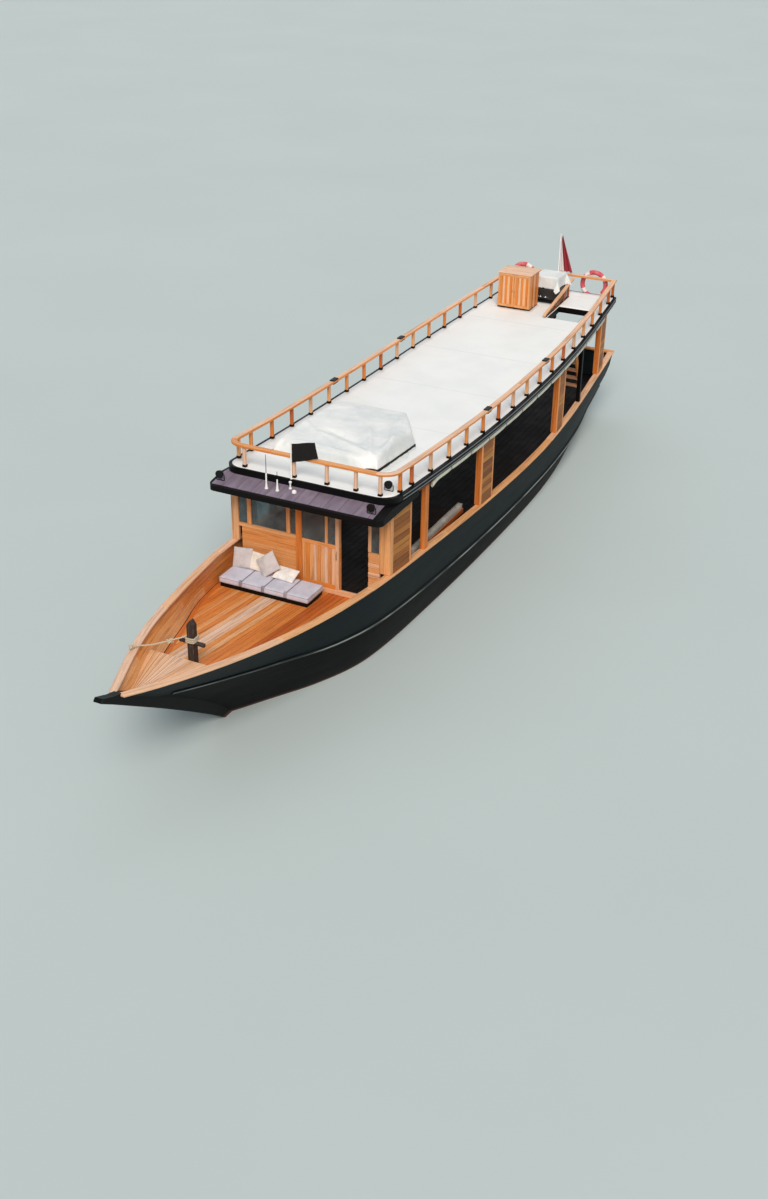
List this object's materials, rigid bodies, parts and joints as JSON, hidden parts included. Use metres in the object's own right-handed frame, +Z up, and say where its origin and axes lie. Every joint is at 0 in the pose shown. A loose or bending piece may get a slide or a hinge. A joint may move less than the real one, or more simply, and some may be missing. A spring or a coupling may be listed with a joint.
{
  "type": "wooden motor passenger boat in the phinisi manner",
  "caption": "Wooden motor passenger boat: raked stem, open-sided house with visor, railed sun deck with white covering, day bed, bitt, life rings, rudder and propeller.",
  "frame": {"origin": "amidships on the centreline, at the waterline the boat floats on", "axes": "+X to the bow, +Y to port, +Z up"},
  "size_m": [20.8685, 3.6828, 6],
  "materials": {
    "hull_paint": "satin marine enamel on timber planking",
    "teak": "oiled hardwood boards",
    "pale_timber": "pale sanded hardwood",
    "dark_timber": "weathered dark hardwood",
    "black_paint": "black paint on timber",
    "visor_paint": "faded dark plum paint on timber",
    "white_sheet": "white coated sheet",
    "grey_cushion": "grey woven outdoor fabric",
    "cream_fabric": "cream canvas",
    "white_fabric": "white cotton",
    "glass": "clear float glass",
    "bronze": "cast bronze",
    "engine_paint": "green machine enamel",
    "ring_foam": "painted foam, red and white",
    "white_paint": "white plastic and paint",
    "flag_cloth": "flag cloth, red over white",
    "black_cloth": "black flag cloth",
    "lamp_black": "black lamp housing",
    "rope": "laid natural rope",
    "fitting_steel": "stainless steel fittings",
    "net_cord": "dark net and lashings",
    "lamp_lens": "clear lamp lens"
  },
  "bodies": {
    "root": {"backbone": "hull_paint", "hull_planking": "hull_paint", "engine_block": "engine_paint", "transom": "hull_paint", "bulwark_port": "hull_paint", "bulwark_starboard": "hull_paint", "cap_rail": "pale_timber", "rub_strake_port": "hull_paint", "rub_strake_starboard": "hull_paint", "main_sole": "teak", "foredeck": "teak", "forepeak_deck": "pale_timber", "mooring_bitt": "dark_timber", "glass_front_wide": "glass", "glass_behind_door": "glass", "glass_front_narrow": "glass", "front_panel_starboard": "teak", "front_panel_port": "teak", "front_header": "teak", "side_frame_port": "teak", "side_frame_starboard": "teak", "roof_deck": "black_paint", "visor": "visor_paint", "deck_rail_fore": "pale_timber", "deck_rail_port": "pale_timber", "deck_rail_starboard": "pale_timber", "deck_rail_aft": "pale_timber", "stair_guard": "teak", "companion_ladder": "teak", "locker_body": "teak", "stowage_frame": "black_paint", "stowage_cover": "white_sheet", "deck_covering": "white_sheet", "bed_base": "black_paint", "bed_mattress": "grey_cushion", "pillow_1": "grey_cushion", "pillow_2": "cream_fabric", "pillow_3": "grey_cushion", "pillow_4": "white_fabric", "covered_cushions": "white_sheet", "life_ring_port": "ring_foam", "life_ring_starboard": "ring_foam", "ensign_staff": "white_paint", "ensign": "flag_cloth", "pennant_staff": "white_paint", "pennant": "black_cloth", "lamp_starboard": "lamp_black", "lamp_port": "lamp_black", "curtain_roll_port": "cream_fabric", "curtain_roll_starboard": "cream_fabric", "settee_port": "teak", "settee_cushion_port": "cream_fabric", "helm_console": "teak"},
    "door_leaf": {"sliding_door": "teak", "glass_door": "glass"},
    "screw": {"propeller": "bronze"},
    "rudder": {"rudder": "hull_paint"},
    "helm": {"helm_wheel": "dark_timber"},
    "locker_door_port": {"locker_door_port": "teak"},
    "locker_door_starboard": {"locker_door_starboard": "teak"}
  },
  "joints": [
    {"name": "door_slide", "type": "slide", "parent": "root", "child": "door_leaf", "axis": [0, 1, 0], "range_m": [0, 0.6]},
    {"name": "propeller_spin", "type": "hinge", "parent": "root", "child": "screw", "pos_m": [-8.65, 0, -0.8], "axis": [1, 0, 0], "continuous": true},
    {"name": "rudder_turn", "type": "hinge", "parent": "root", "child": "rudder", "pos_m": [-9.2, 0, -0.5], "axis": [0, 0, 1], "range_deg": [-35, 35]},
    {"name": "helm_turn", "type": "hinge", "parent": "root", "child": "helm", "pos_m": [2.9, -0.85, 1.83], "axis": [1, 0, 0], "range_deg": [-525, 525]},
    {"name": "locker_door_port_hinge", "type": "hinge", "parent": "root", "child": "locker_door_port", "pos_m": [-8.0907, -0.234, 3.6], "axis": [0, 0, 1], "range_deg": [0, 100]},
    {"name": "locker_door_starboard_hinge", "type": "hinge", "parent": "root", "child": "locker_door_starboard", "pos_m": [-8.0907, -1.066, 3.6], "axis": [0, 0, -1], "range_deg": [0, 100]}
  ],
  "couplings": [
    {"joint": "helm_turn", "follows": "rudder_turn", "ratio": 15}
  ]
}
